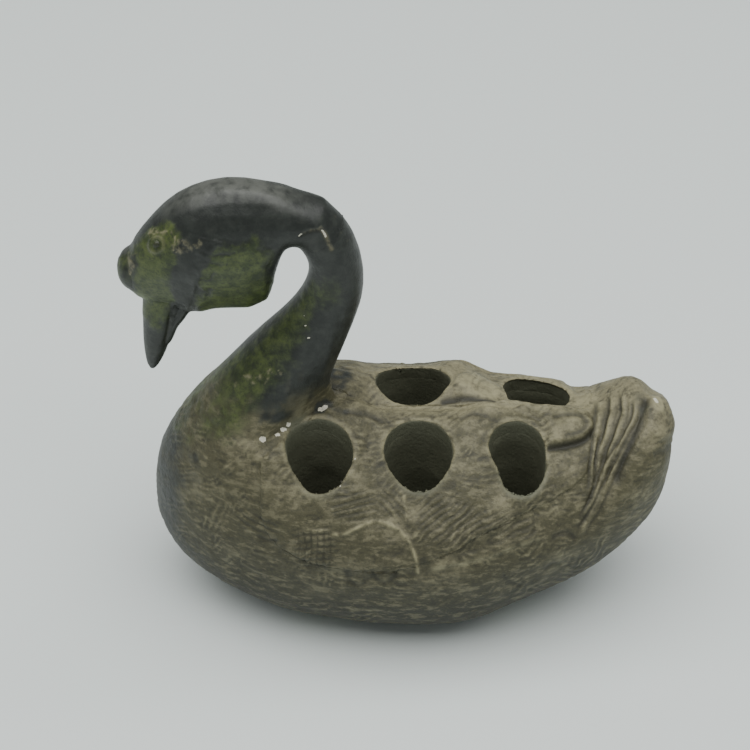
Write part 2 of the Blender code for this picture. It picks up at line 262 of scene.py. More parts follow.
class Work:
    # the heights and colours being laid on one set of surface points
    def __init__(self, places, normals):
        self.places = places
        self.normals = normals
        self.flat = drawn(places)
        self.height = np.zeros(len(places))
        self.shift = np.zeros((len(places), 3))
        turning = ramp(15.0, 18.5, places[:, 1])
        self.open = 1.0 - 4.0 * turning * (1.0 - turning)      # 1 where strokes may be made
        self.colour = {name: np.zeros(len(places)) for name in layerNames}

    def tint(self, name, values):
        self.colour[name] = np.maximum(self.colour[name], values)

    def tintAt(self, chosen, name, values):
        layer = self.colour[name]
        layer[chosen] = np.maximum(layer[chosen], values)

    def push(self, middle, radius, move):
        # shove the soft clay around a spot of the drawing
        gap = np.hypot(*(self.flat - middle).T) / radius
        self.shift += np.exp(-gap ** 2)[:, None] * np.array(move)

    def near(self, line, reach):
        low = line.min(axis=0) - reach
        high = line.max(axis=0) + reach
        return np.nonzero(np.all((self.flat > low) & (self.flat < high), axis=1)
                          & (self.open > 0.01))[0]

    def stroke(self, points, width, height, tint=None, amount=1.0, shape="line"):
        # a line pressed in (height below 0) or raised; "step" leaves the left side standing
        line = curveThrough(points)
        chosen = self.near(line, width * 4)
        if not len(chosen):
            return
        distance, side, along = lineDistance(self.flat[chosen], line)
        fade = ramp(0.0, 0.12, along) * ramp(1.0, 0.88, along) * self.open[chosen]
        bump = np.exp(-(distance / width) ** 2)
        if shape == "step":
            signed = distance * side
            bump = ramp(-width, width, signed) * np.exp(-(np.maximum(signed, 0) / (3 * width)) ** 2)
        self.height[chosen] += height * bump * fade
        if tint:
            self.tintAt(chosen, tint, amount * np.exp(-(distance / width) ** 2) * fade)

    def lobe(self, points, edge, height, tint=None, amount=1.0, soft=0.4):
        line = curveThrough(list(points) + [points[0]])
        chosen = self.near(line, max(edge, soft * 2))
        if not len(chosen):
            return
        distance = insideDistance(self.flat[chosen], line)
        fade = self.open[chosen]
        self.height[chosen] += height * ramp(-edge, edge, distance) * fade
        if tint:
            ragged = distance + 0.35 * soft * cloudy(self.places[chosen], 3.0, 83, 3)
            self.tintAt(chosen, tint, amount * ramp(-soft, soft, ragged) * fade)

    def hatch(self, points, angle, pitch, height, edge=1.0):
        # a patch of short parallel barbs
        line = curveThrough(list(points) + [points[0]])
        chosen = self.near(line, edge)
        if not len(chosen):
            return
        flat = self.flat[chosen]
        inside = ramp(-edge, edge, insideDistance(flat, line)) * self.open[chosen]
        turn = math.radians(angle)
        across = flat[:, 1] * math.cos(turn) - flat[:, 0] * math.sin(turn)
        across = across + 0.35 * hills(flat, 2.6, 31)
        barbs = np.sin(across * 2 * math.pi / pitch)
        self.height[chosen] += height * barbs * inside
        self.tintAt(chosen, "groove", 0.4 * inside * ramp(0.2, 1.0, -barbs))


# Each well has its middle and half sizes, then the bumps that push its wall in, by angle.
wellSettings = {
    "wells": [(-17.2, -12.5, 6.3, 6.3), (1.3, -10.6, 6.3, 6.3), (19.8, -10.6, 5.7, 6.3),
              (0.5, 7.2, 7.3, 6.3), (24.1, 7.2, 6.6, 6.1)],
    "dents": [[(-135, 0.7), (-45, 0.4)], [(-135, 0.6), (-45, 0.4)],
              [(-140, 1.2), (-165, 0.4), (0, 0.5)], [(-30, 0.5)], [(180, 0.4)]],
    "lipHeight": 0.22, "lipWidth": 0.8,
}


def inBores(places):
    # 1 inside a stem well's bore, fading to 0 just outside it
    inside = np.zeros(len(places))
    for x, y, halfLength, halfWidth in wellSettings["wells"]:
        reach = np.hypot((places[:, 0] - x) / halfLength, (places[:, 1] - y) / halfWidth)
        inside = np.maximum(inside, ramp(1.22, 1.02, reach))
    return inside


def workWells(work):
    bore = inBores(work.places) * ramp(47.0, 44.5, work.places[:, 2])
    steep = ramp(0.75, 0.45, work.normals[:, 2])
    low = ramp(40.0, 34.0, work.places[:, 2])
    work.tint("inside", bore * np.maximum(steep, low))
    work.open *= 1.0 - bore * steep
    for (x, y, halfLength, halfWidth), dents in zip(wellSettings["wells"],
                                                    wellSettings["dents"]):
        reach = np.hypot((work.places[:, 0] - x) / halfLength,
                         (work.places[:, 1] - y) / halfWidth)
        away = (reach - 1.0) * halfWidth
        turn = np.degrees(np.arctan2(work.places[:, 1] - y, work.places[:, 0] - x))
        wall = ramp(2.5, 0.8, away) * ramp(22.0, 33.0, work.places[:, 2])
        for angle, inward in dents:
            apart = (turn - angle + 180.0) % 360.0 - 180.0
            amount = inward * np.exp(-(apart / 32.0) ** 2) * wall
            work.shift[:, 0] -= amount * np.cos(np.radians(turn))
            work.shift[:, 1] -= amount * np.sin(np.radians(turn))
        lip = np.exp(-((away - 0.9) / wellSettings["lipWidth"]) ** 2)
        lip *= ramp(30.0, 36.0, work.places[:, 2])
        work.height += wellSettings["lipHeight"] * lip
        work.tint("pale", 0.5 * np.exp(-((away - 0.3) / 0.5) ** 2) * work.open)


def workClay(work):
    # the kneaded, scratched surface of the whole bird
    places = work.places
    height = places[:, 2]
    isHead = ramp(46.0, 50.0, height)
    rough = 1.0 - 0.8 * isHead
    work.height += 0.28 * cloudy(places, 11.0, 3, 2) * rough
    work.height += 0.10 * cloudy(places, 3.6, 11, 2) * rough
    scratches = cloudy(places * np.array([1.0, 1.0, 2.2]), 1.7, 21, 2)
    pitted = hills(places, 6.0, 23)
    deck = ramp(36.0, 40.0, height) * (1.0 - isHead)
    rough = rough * (0.5 + 0.4 * ramp(-0.6, 0.6, pitted) + 0.5 * deck)
    work.height += 0.06 * scratches * rough * work.open
    work.tint("groove", ramp(0.45, 1.3, -scratches) * 0.6 * rough * work.open)
    work.tint("pale", ramp(0.55, 1.4, scratches) * 0.55 * rough * work.open)


def shapeForm(work):
    # the back sags between the wings and towards its right rear; head and neck are trued up
    x, y, height = work.places.T
    back = ramp(30.0, 38.0, height)
    hollow = np.exp(-((y - 0.8) / 3.2) ** 2) * ramp(-12.0, -6.0, x) * ramp(15.0, 9.0, x)
    work.shift[:, 2] -= 1.5 * hollow * back
    work.shift[:, 2] -= 1.9 * ramp(0.0, 4.0, y) * ramp(10.0, 16.0, x) * ramp(37.0, 32.0, x) * back
    work.shift[:, 2] += 0.9 * ramp(10.0, 15.0, y) * np.exp(-((x - 8.5) / 4.5) ** 2) * back
    for middle, radius, move in (
            ((-18.6, 71.0), 5.5, (0.1, 0.0, 0.35)),      # crown, by the neck
            ((-40.2, 46.8), 2.6, (-0.9, 0.0, 0.0)),      # back of the bill
            ((-33.0, 71.5), 6.0, (0.0, 0.0, -0.4)),      # middle of the crown
            ((-46.0, 65.0), 5.0, (0.4, 0.0, -0.3)),      # brow
            ((-31.0, 41.0), 6.5, (0.6, 0.0, -0.4)),      # front of the neck
            ((-39.8, 48.6), 3.0, (0.2, 0.0, -1.7)),      # corner of bill and cheek
            ((46.4, 36.4), 3.0, (0.0, 0.0, -1.6))):      # top of the tail
        work.push(middle, radius, move)


def workBack(work):
    # wing lobes, rims and wing tip on the deck
    work.stroke([(5.5, 33.2), (8.5, 34.0), (13.0, 33.6), (16.5, 33.0)], 0.45, -0.4, "groove", 0.9)
    work.stroke([(5.5, 32.2), (11.5, 32.4), (17.0, 32.0)], 0.9, 0.25, "pale", 0.5)
    work.lobe([(8.5, 36.0), (10.0, 38.0), (13.5, 38.6), (16.5, 37.0), (16.6, 34.8), (13.0, 33.8),
               (9.5, 33.8)], 0.9, 0.8, "pale", 0.55)
    work.lobe([(6.0, 39.0), (8.0, 40.4), (10.5, 39.6), (10.0, 38.6), (7.5, 38.2)], 0.5, 0.35)
    work.stroke([(17.6, 34.6), (19.3, 37.3), (24.5, 38.4), (29.0, 37.4), (31.8, 35.0)], 1.1, 0.6,
                "pale", 0.45)
    work.lobe([(31.5, 35.4), (35.0, 35.2), (35.6, 32.0), (32.6, 31.6)], 0.6, 0.35, "pale", 0.4)
    work.lobe([(19.0, 32.6), (24.5, 31.4), (28.5, 30.9), (32.3, 31.2), (34.0, 29.4), (34.2, 27.4),
               (32.0, 26.0), (28.0, 25.0), (25.6, 24.7), (25.4, 29.0)], 0.8, 0.95, "pale", 0.4)
    work.stroke([(26.0, 29.2), (28.5, 29.9), (31.8, 29.8), (32.9, 28.2), (31.2, 26.7),
                 (27.6, 26.3)], 0.4, -0.22, "groove", 0.5)
    work.stroke([(34.6, 27.8), (32.3, 25.4), (28.2, 24.3), (25.4, 24.0)], 0.7, -0.6, "groove", 0.85)
    work.stroke([(16.4, 33.2), (20.0, 32.4), (25.2, 31.1), (30.4, 31.4)], 0.7, 0.5, "pale", 0.6)
    work.stroke([(-11.0, 33.0), (-6.0, 31.4), (0.5, 31.2), (8.0, 31.4)], 0.7, 0.2, "pale", 0.35)
    work.stroke([(-13.0, 31.0), (-8.0, 30.2), (-5.0, 28.8)], 0.5, -0.25, "groove", 0.5)
    work.stroke([(8.8, 29.5), (11.5, 30.6), (14.5, 30.0)], 0.5, -0.22, "groove", 0.5)


def workTail(work):
    # long tail feathers that gather towards the waist
    flat = work.flat
    ragged = np.stack([cloudy(flat, 4.5, 83, 2), cloudy(flat, 4.5, 84, 2)], 1)
    work.flat = flat + 0.14 * ragged
    grooves = [[(35.6, 33.4), (34.6, 28.5), (33.6, 22.5), (33.0, 16.0)],
               [(37.6, 34.2), (36.6, 29.5), (35.0, 23.5), (33.6, 16.0)],
               [(39.6, 35.0), (38.6, 29.5), (36.4, 23.5), (34.2, 17.0), (32.4, 12.5)],
               [(41.6, 33.6), (40.5, 29.0), (37.6, 24.0), (35.2, 20.0), (33.6, 15.0), (31.4, 11.0)],
               [(43.2, 31.2), (40.6, 26.8), (38.0, 22.0), (35.4, 17.0), (33.4, 12.5), (31.0, 8.0)]]
    for groove in grooves:
        work.stroke(groove, 0.36, -0.38, "groove", 0.6)
        ridge = [(x + 0.6, s + 0.1) for x, s in groove]
        work.stroke(ridge, 0.36, 0.16, "pale", 0.65)
        fine = [(x + 1.15, s - 1.2) for x, s in groove]
        work.stroke(fine, 0.26, -0.2, "groove", 0.4)
    work.stroke([(44.6, 34.6), (43.2, 31.0), (41.6, 27.0), (39.4, 22.0), (37.6, 17.0)], 0.8, -0.55,
                "groove", 0.85)
    work.lobe([(45.2, 34.6), (47.6, 34.4), (49.8, 31.0), (49.6, 27.0), (46.4, 25.8), (44.2, 27.6),
               (44.4, 31.0)], 0.9, 0.6, "tan", 0.5)
    work.stroke([(50.0, 25.0), (48.0, 23.4), (45.0, 22.6)], 0.8, -0.25, "groove", 0.4)
    work.lobe([(45.0, 33.9), (46.2, 34.2), (47.6, 32.6), (47.0, 30.9), (45.6, 31.6)], 0.35, 0.12,
              "pale", 1.0)
    work.lobe([(45.2, 33.6), (46.0, 33.6), (46.6, 32.4), (45.8, 32.2)], 0.2, 0.05, "chip", 0.65)
    work.flat = flat


def workFlank(work):
    # feather outlines and barbs scratched into the side
    work.stroke([(-21.0, 9.6), (-18.0, 9.1), (-15.5, 8.9), (-13.2, 8.2), (-10.0, 9.6), (-7.0, 10.7),
                 (-4.2, 10.4), (-2.0, 8.6)], 0.3, 0.22, "pale", 0.85)
    work.stroke([(-6.0, 10.6), (-2.6, 9.2), (-1.0, 7.5), (0.2, 5.4), (0.9, 2.4), (1.1, 0.2)], 0.3,
                0.25, "pale", 0.85)
    work.stroke([(-1.6, 15.6), (-1.3, 13.4), (-1.0, 11.0)], 0.3, 0.2, "pale", 0.7)
    # barb patches: outline, angle, pitch and height
    for patch in (
            ([(0.6, 16.5), (6.5, 15.0), (12.6, 12.5), (12.4, 6.5), (5.0, 6.0), (1.6, 9.0)], 38, 1.2,
             0.10),
            ([(-6.2, 17.0), (-2.0, 16.0), (-1.6, 11.6), (-6.0, 12.4)], -42, 1.1, 0.10),
            ([(-22.0, 9.2), (-15.0, 9.0), (-14.8, 2.0), (-21.6, 2.4)], 4, 1.2, 0.11),
            ([(-21.4, 8.8), (-15.4, 8.6), (-15.2, 2.6), (-21.2, 2.8)], 88, 1.2, 0.11),
            ([(-33.0, 13.5), (-26.5, 11.0), (-26.0, 8.0), (-32.0, 9.5)], -30, 1.3, 0.08),
            ([(13.5, 13.0), (22.0, 11.5), (22.0, 7.0), (14.0, 6.6)], 28, 1.3, 0.08),
            ([(-14.0, 17.0), (-7.5, 16.0), (-8.0, 11.0), (-14.5, 11.5)], 12, 1.2, 0.07)):
        work.hatch(*patch)
    work.stroke([(-28.8, 7.6), (-27.0, 6.8), (-25.0, 6.7)], 0.35, -0.2, "groove", 0.6)
    work.stroke([(3.0, 1.6), (9.0, 2.6), (15.5, 4.1), (20.0, 6.0), (25.0, 7.6)], 0.6, 0.35,
                "pale", 0.5, "step")
    # small loops low on the side: line, width, height and how dark
    for line, width, height, dark in (
            ([(26.0, 7.0), (28.0, 8.1), (29.6, 8.0), (31.0, 6.6)], 0.5, -0.3, 0.6),
            ([(25.0, 0.6), (26.8, 2.0), (28.6, 1.4)], 0.5, -0.25, 0.5),
            ([(17.0, 0.2), (18.8, -1.6), (21.2, -2.4)], 0.5, -0.25, 0.5),
            ([(-12.2, 1.6), (-11.8, -0.6), (-9.6, -1.8), (-7.8, 0.2)], 0.45, -0.22, 0.5),
            ([(-7.6, 1.8), (-6.2, -0.8), (-4.0, -0.6), (-2.6, 1.4)], 0.45, -0.2, 0.5)):
        work.stroke(line, width, height, "groove", dark)


featherSettings = {"size": 7.5, "scatter": 0.45, "lay": math.radians(18), "turn": 0.9,
                   "pitch": 1.1, "barb": 0.035, "rim": 0.07}


def workFeathers(work):
    # faint overlapping feathers, each with its own lay of barbs
    flat = work.flat
    clear = work.open * ramp(47.0, 42.0, work.places[:, 2])
    cells = flat / featherSettings["size"]
    home = np.floor(cells)
    best = np.full(len(flat), 1e9)
    second = np.full(len(flat), 1e9)
    lay = np.zeros(len(flat))
    for dx in (-1, 0, 1):
        for dy in (-1, 0, 1):
            cell = home + (dx, dy)
            middle = cell + 0.5
            jitter = np.stack([hills(cell * 1.37 + 0.5, 1.0, 41), hills(cell * 1.71, 1.0, 43)], 1)
            gap = cells - middle - featherSettings["scatter"] * jitter
            distance = np.hypot(gap[:, 0], gap[:, 1])
            closer = distance < best
            second = np.where(closer, best, np.minimum(second, distance))
            lay = np.where(closer, hills(cell * 0.93, 1.0, 47), lay)
            best = np.where(closer, distance, best)
    turn = featherSettings["lay"] + lay * featherSettings["turn"]
    across = flat[:, 1] * np.cos(turn) - flat[:, 0] * np.sin(turn)
    across = across + 0.7 * hills(flat, 3.0, 51) + 0.18 * hills(flat, 0.9, 52)
    barbs = np.sin(across * 2 * math.pi / featherSettings["pitch"])
    broken = ramp(-0.25, 0.5, hills(flat, 2.6, 53)) * ramp(-0.8, 0.2, hills(flat, 9.0, 54))
    rim = ramp(0.14, 0.0, second - best) * broken
    work.height += (featherSettings["barb"] * barbs * broken - featherSettings["rim"] * rim) * clear
    work.tint("groove", (0.26 * ramp(0.3, 1.0, -barbs) * broken + 0.15 * rim) * clear)
    work.tint("pale", 0.34 * ramp(0.45, 1.0, barbs) * broken * clear)


eyeSettings = {"place": (-45.1, 60.5), "ring": 1.25, "ringRise": 0.2, "dip": 0.8,
               "dipDepth": 0.2}


def workHead(work):
    flat = work.flat
    eyeGap = np.hypot(flat[:, 0] - eyeSettings["place"][0], flat[:, 1] - eyeSettings["place"][1])
    side = ramp(2.0, 3.2, -work.places[:, 1]) * ramp(78.0, 80.0, work.places[:, 2])
    ring = np.exp(-((eyeGap - eyeSettings["ring"]) / 0.35) ** 2)
    dip = np.exp(-((eyeGap - eyeSettings["dip"]) / 0.3) ** 2)
    work.height += eyeSettings["ringRise"] * ring * side
    work.height -= eyeSettings["dipDepth"] * dip * side
    work.tint("pale", 0.4 * np.exp(-((eyeGap - 1.4) / 0.35) ** 2) * side)
    work.stroke([(-34.5, 69.6), (-29.5, 69.3), (-23.0, 67.4), (-19.0, 65.4), (-16.0, 62.0)], 1.6,
                0.35)
    work.stroke([(-20.0, 61.6), (-18.6, 62.5), (-17.2, 62.9), (-15.8, 62.8)], 0.22, -0.2, "pale",
                0.8)
    work.stroke([(-20.2, 61.6), (-19.4, 62.1)], 0.2, -0.1, "chip", 0.9)
    work.stroke([(-16.6, 63.4), (-15.6, 62.4), (-14.9, 60.8), (-14.2, 59.2)], 0.32, -0.2, "pale",
                0.9)
    work.stroke([(-16.0, 62.9), (-15.5, 62.2), (-15.2, 61.4)], 0.25, -0.1, "chip", 0.85)
    # cheek lobe, stripe of dark feathers and the face, all with ragged edges
    ragged = np.stack([cloudy(flat, 1.5, 81, 3), cloudy(flat, 1.5, 82, 3)], 1)
    work.flat = flat + 0.75 * ragged
    work.lobe([(-37.5, 59.8), (-33.0, 60.2), (-27.0, 60.0), (-25.0, 57.0), (-25.4, 52.4),
               (-28.4, 48.8), (-34.0, 48.4), (-38.6, 49.2), (-39.0, 53.0)], 1.2, 0.3, "moss",
              0.95, 2.6)
    work.lobe([(-49.6, 60.6), (-46.2, 63.0), (-42.4, 63.4), (-40.0, 61.6), (-41.2, 57.6),
               (-43.6, 50.6), (-46.6, 46.4), (-52.0, 51.6), (-54.0, 57.0)], 0.9, 0.12, "moss", 0.9,
              2.0)
    work.lobe([(-40.1, 61.0), (-37.6, 61.6), (-34.0, 60.4), (-35.0, 58.4), (-36.6, 56.0),
               (-38.4, 53.4), (-40.4, 50.8), (-42.6, 50.0), (-43.0, 52.8), (-41.6, 56.4)], 0.6, 0.2,
              "slate", 1.0, 1.1)
    for plume in ([(-36.0, 60.8), (-32.6, 60.5), (-29.4, 59.6)],
                  [(-36.6, 59.6), (-34.0, 58.4), (-31.4, 58.2)],
                  [(-37.2, 57.6), (-34.8, 56.4), (-32.8, 56.7)],
                  [(-38.0, 55.4), (-36.0, 54.4), (-34.6, 54.8)],
                  [(-39.2, 52.8), (-37.4, 51.8), (-36.2, 52.2)]):
        work.stroke(plume, 0.42, -0.12, "slate", 0.6)
    work.lobe([(-51.5, 58.2), (-49.4, 58.8), (-48.2, 56.6), (-48.9, 53.8), (-51.0, 53.4),
               (-52.8, 55.6)], 0.8, 0.05, "slate", 0.75, 1.0)
    for streak in ([(-42.3, 62.1), (-41.6, 60.4), (-41.3, 58.8)], [(-41.0, 61.8), (-40.3, 58.6)],
                   [(-39.7, 61.4), (-39.4, 59.4)], [(-38.2, 61.0), (-37.8, 59.4)],
                   [(-46.8, 61.6), (-45.4, 62.7), (-43.4, 62.5)], [(-50.4, 58.6), (-48.8, 59.2)],
                   [(-49.6, 57.8), (-49.2, 55.8)], [(-31.6, 38.3), (-29.6, 38.1)],
                   [(-29.0, 38.0), (-27.7, 38.1)], [(-26.8, 38.3), (-25.3, 38.1)],
                   [(-24.7, 38.0), (-23.7, 37.9)], [(-30.6, 36.9), (-29.5, 36.7)],
                   [(-27.6, 36.6), (-26.2, 36.9)], [(-33.4, 36.0), (-32.2, 36.3)]):
        work.stroke(streak, 0.3, 0.1, "pale", 1.0)
    work.flat = flat
    work.tint("groove", ramp(0.85, 0.5, eyeGap) * side)
    work.stroke([(-50.6, 59.6), (-50.2, 58.0), (-50.0, 56.4)], 0.35, 0.12, "pale", 0.6)


def workMouth(work):
    work.stroke([(-43.6, 48.4), (-44.4, 45.6), (-45.4, 43.0)], 0.3, -0.16, "groove", 0.5)


def layGlaze(work):
    # where the moss and the slate glazes lie, a painted highlight on the deck and the crown, and
    # painted shade low on the sides
    places, flat = work.places, work.flat
    x, height = places[:, 0], places[:, 2]
    cloud = cloudy(places, 7.0, 61, 3)
    patches = cloudy(places, 3.4, 63, 2)
    edge = 40.5 + 6.0 * ramp(-18.0, -34.0, x) + 3.0 * cloud
    fore = np.maximum(ramp(-9.0, -13.0, x), ramp(42.0, 48.0, height))
    above = ramp(-2.5, 5.5, height - edge) * fore
    breast = ramp(-37.0, -48.0, x + 2.5 * cloud) * ramp(58.0, 46.0, height)
    above *= 1.0 - 0.7 * ramp(56.0, 46.0, height) * ramp(0.8, -0.3, patches)
    slate = np.maximum(above, 0.8 * breast)
    front = curveThrough([(-16.2, 54.5), (-20.6, 48.6), (-26.4, 43.6), (-32.0, 39.6),
                          (-36.4, 34.5), (-39.0, 29.0)])
    distance = lineDistance(flat, front)[0]
    width = 3.0 + 4.6 * ramp(46.0, 36.0, flat[:, 1])
    collar = ramp(width + 2.4, width - 2.4, distance + 1.3 * patches)
    collar *= ramp(57.0, 52.0, flat[:, 1]) * ramp(20.0, 30.0, flat[:, 1])
    lower = ramp(46.0, 38.0, height) * ramp(-13.0, -22.0, x) * ramp(16.0, 27.0, flat[:, 1])
    patched = 0.62 * lower * ramp(-0.7, 0.9, patches + 0.6 * cloud)
    collar = collar * (0.62 + 0.38 * ramp(-0.9, 0.5, patches + 0.5 * cloud))
    moss = np.maximum(work.colour["moss"], np.maximum(0.75 * collar, patched))
    work.colour["moss"] = moss * (1.0 - work.colour["slate"])
    work.tint("slate", slate * (1.0 - 0.85 * ramp(0.45, 0.8, moss) * ramp(56.0, 48.0, height)))
    # painted highlight: the deck before the wings turns tan where it faces up; the upper tail is
    # made tan as well
    lit = ramp(29.5, 33.0, flat[:, 1]) * ramp(-14.0, -4.0, x) * ramp(0.2, 0.7, work.normals[:, 2])
    tail = 0.45 * ramp(33.0, 38.0, x) * ramp(22.0, 30.0, flat[:, 1])
    work.tint("tan", np.maximum(lit * 0.75, tail))
    # the slate down the nape is left unmarked
    nape = ramp(50.0, 54.0, height) * ramp(74.0, 70.0, height) * ramp(-23.4, -22.0, x)
    work.colour["pale"] = work.colour["pale"] * (1.0 - nape)
    work.colour["groove"] = work.colour["groove"] * (1.0 - nape)
    # painted shade: the sides darken towards the bottom and where they face down
    facing = work.normals[:, 2]
    painted_shade = ramp(40.0, 5.0, height) * 0.9 + 0.25 * ramp(0.1, -0.5, facing)
    work.tint("painted_shade", painted_shade * ramp(50.0, 44.0, height))
    # painted highlight: the crown is paler where it faces up
    work.tint("crown_highlight", ramp(0.62, 0.95, facing) * ramp(56.0, 66.0, height)
              * ramp(-17.0, -25.0, x + 1.5 * patches))


def workChips(work):
    for x, s, size in ((-27.4, 25.8, 0.75), (-24.8, 26.6, 0.7), (-23.8, 27.6, 0.65),
                       (-22.9, 28.6, 0.45), (-16.9, 31.4, 0.5), (-16.2, 31.8, 0.5),
                       (-19.4, 46.6, 0.2), (-18.8, 44.4, 0.18), (-19.8, 48.4, 0.16),
                       (-10.6, 22.2, 0.3), (-13.2, 17.2, 0.35)):
        gap = np.hypot(work.flat[:, 0] - x, (work.flat[:, 1] - s) * 1.2)
        gap = gap + 0.45 * size * cloudy(work.places, 0.8, 71, 2)
        mark = ramp(size, size * 0.7, gap) * ramp(16.0, 10.0, work.places[:, 1])
        work.height -= 0.12 * mark
        work.tint("chip", mark)


def workBird(places, normals):
    work = Work(places, normals)
    shapeForm(work)
    workWells(work)
    workClay(work)
    workFeathers(work)
    workBack(work)
    workTail(work)
    workFlank(work)
    workHead(work)
    workMouth(work)
    layGlaze(work)
    workChips(work)
    return work


pieces = {
    "body": {"slot": "body_glaze", "voxel": 0.34, "faces": 190000},
    "left_wing": {"slot": "wing_glaze", "voxel": 0.30, "faces": 150000},
    "right_wing": {"slot": "wing_glaze", "voxel": 0.30, "faces": 150000},
    "tail": {"slot": "tail_glaze", "voxel": 0.30, "faces": 150000},
    "neck": {"slot": "neck_glaze", "voxel": 0.32, "faces": 150000},
    "head": {"slot": "head_glaze", "voxel": 0.26, "faces": 150000},
    "upper_bill": {"slot": "bill_glaze", "voxel": 0.18, "faces": 60000},
    "lower_bill": {"slot": "bill_glaze", "voxel": 0.16, "faces": 40000},
    "bill_knob": {"slot": "knob_glaze", "voxel": 0.16, "faces": 40000},
    "left_eye": {"slot": "eye_glaze", "voxel": 0.10, "faces": 20000},
    "right_eye": {"slot": "eye_glaze", "voxel": 0.10, "faces": 20000},
}
# Surface closer to the lump than the first gap is moved wholly on to it, and past the second gap it
# is left where it was. "skin" says the same for the marks.
pieceSettings = {"fatten": 0.62, "smallFatten": 0.34, "smallVoxel": 0.2, "snap": (1.2, 1.9),
                 "skin": (0.7, 2.0), "tuck": 0.12}
finished = {}


def makePiece(name, settings):
    small = settings["voxel"] <= pieceSettings["smallVoxel"]
    fatten = pieceSettings["smallFatten" if small else "fatten"]
    piece = clayFrom(name + "_glazed", [name], fatten * mm)
    remesh(piece, settings["voxel"] * mm)
    points = coordsOf(piece.data)
    own = normalsOf(piece.data)
    places, normals = nearestOnBird(points)
    gap = np.linalg.norm(places - points, axis=1)
    facing = np.einsum("ij,ij->i", own, normals)
    snap = ramp(*reversed(pieceSettings["snap"]), gap) * ramp(0.25, 0.6, facing)
    skin = ramp(*reversed(pieceSettings["skin"]), gap)
    work = workBird(places, normals)
    points = points + (places - points) * snap[:, None]
    # edges tuck in a hair, so each joint shows only one clean surface
    tuck = pieceSettings["tuck"] * ramp(0.93, 0.7, facing)
    lift = (work.height - lumpSettings["fatten"] / mm - tuck) * skin
    points = points + normals * lift[:, None] + work.shift * skin[:, None]
    setCoords(piece.data, points)
    relax(piece, 1)
    points = coordsOf(piece.data)
    points[:, 2] = np.maximum(points[:, 2], 0.0)
    setCoords(piece.data, points)
    for layer, values in work.colour.items():
        paint(piece.data, layer, values)
    thinOut(piece, settings["faces"])
    pick(piece)
    bpy.ops.object.shade_smooth()
    finished[name] = piece
    print(name, len(piece.data.polygons), "faces")


for name, settings in pieces.items():
    makePiece(name, settings)
bpy.data.objects.remove(bird, do_unlink=True)


def feed(tree, socket, value):
    # a link when the value is a node and one of its outputs, otherwise the value itself
    if isinstance(value, tuple) and isinstance(value[0], bpy.types.Node):
        tree.links.new(value[0].outputs[value[1]], socket)
    else:
        socket.default_value = value


def addNode(tree, kind, inputs=None, **values):
    node = tree.nodes.new(kind)
    for key, value in values.items():
        setattr(node, key, value)
    for key, value in (inputs or {}).items():
        feed(tree, node.inputs[key], value)
    return node


def newGroup(name, inputs, outputs):
    group = bpy.data.node_groups.new(name, "ShaderNodeTree")
    for title, kind, value in inputs:
        socket = group.interface.new_socket(title, in_out="INPUT", socket_type=kind)
        socket.default_value = value
    for title, kind in outputs:
        group.interface.new_socket(title, in_out="OUTPUT", socket_type=kind)
    start = group.nodes.new("NodeGroupInput")
    end = group.nodes.new("NodeGroupOutput")
    return group, start, end


def mixColour(tree, factor, first, second):
    # a colour Mix node has its factor at socket 0, its colours at 6 and 7, and its result at 2
    return addNode(tree, "ShaderNodeMix", {0: factor, 6: first, 7: second}, data_type="RGBA"), 2


def combineValues(tree, operation, first, second):
    return addNode(tree, "ShaderNodeMath", {0: first, 1: second}, operation=operation), 0


def times(tree, first, second):
    return combineValues(tree, "MULTIPLY", first, second)


def rampValue(tree, value, low, high):
    return addNode(tree, "ShaderNodeMapRange", {"Value": value, "From Min": low, "From Max": high},
                   interpolation_type="SMOOTHSTEP"), 0


def noise(tree, coords, scale, detail=4.0, rough=0.6, stretch=None):
    source = (coords, "Object")
    if stretch:
        mapping = addNode(tree, "ShaderNodeMapping", {"Vector": source, "Scale": stretch})
        source = (mapping, "Vector")
    node = addNode(tree, "ShaderNodeTexNoise",
                   {"Vector": source, "Scale": scale, "Detail": detail, "Roughness": rough})
    return node, "Fac"


# Aged clay: a ground colour that mottles, darkened low down by painted shade, with glaze in its
# hollows, worn off its ridges, and a painted highlight on the crown.
clayInputs = [
    ("Ground", "NodeSocketColor", (0.078, 0.073, 0.036, 1)),
    ("Tan", "NodeSocketColor", (0.250, 0.230, 0.138, 1)),
    ("Pale", "NodeSocketColor", (0.36, 0.335, 0.195, 1)),
    ("Groove", "NodeSocketColor", (0.022, 0.022, 0.013, 1)),
    ("Moss", "NodeSocketColor", (0.026, 0.040, 0.008, 1)),
    ("Slate", "NodeSocketColor", (0.013, 0.016, 0.013, 1)),
    ("MossLight", "NodeSocketColor", (0.084, 0.110, 0.028, 1)),
    ("SlateLight", "NodeSocketColor", (0.028, 0.033, 0.027, 1)),
    ("Dust", "NodeSocketColor", (0.10, 0.105, 0.09, 1)),
    ("Wash", "NodeSocketColor", (0.024, 0.024, 0.014, 1)),
    ("Chip", "NodeSocketColor", (0.66, 0.64, 0.52, 1)),
    ("Inside", "NodeSocketColor", (0.115, 0.12, 0.078, 1)),
    ("Speckle", "NodeSocketFloat", 0.5),
]
clayGroup, clayIn, clayOut = newGroup("agedClay", clayInputs, [
    ("Color", "NodeSocketColor"), ("Roughness", "NodeSocketFloat"),
    ("Height", "NodeSocketFloat")])
tree = clayGroup
coords = addNode(tree, "ShaderNodeTexCoord")
layers = {name: (addNode(tree, "ShaderNodeAttribute", attribute_name=name), "Fac")
          for name in layerNames}
broad = noise(tree, coords, 130.0, 5.0, 0.62)
medium = noise(tree, coords, 480.0, 5.0, 0.6)
fine = noise(tree, coords, 1700.0, 3.0, 0.65)
streaks = noise(tree, coords, 330.0, 4.0, 0.7, (1.0, 1.0, 2.8))
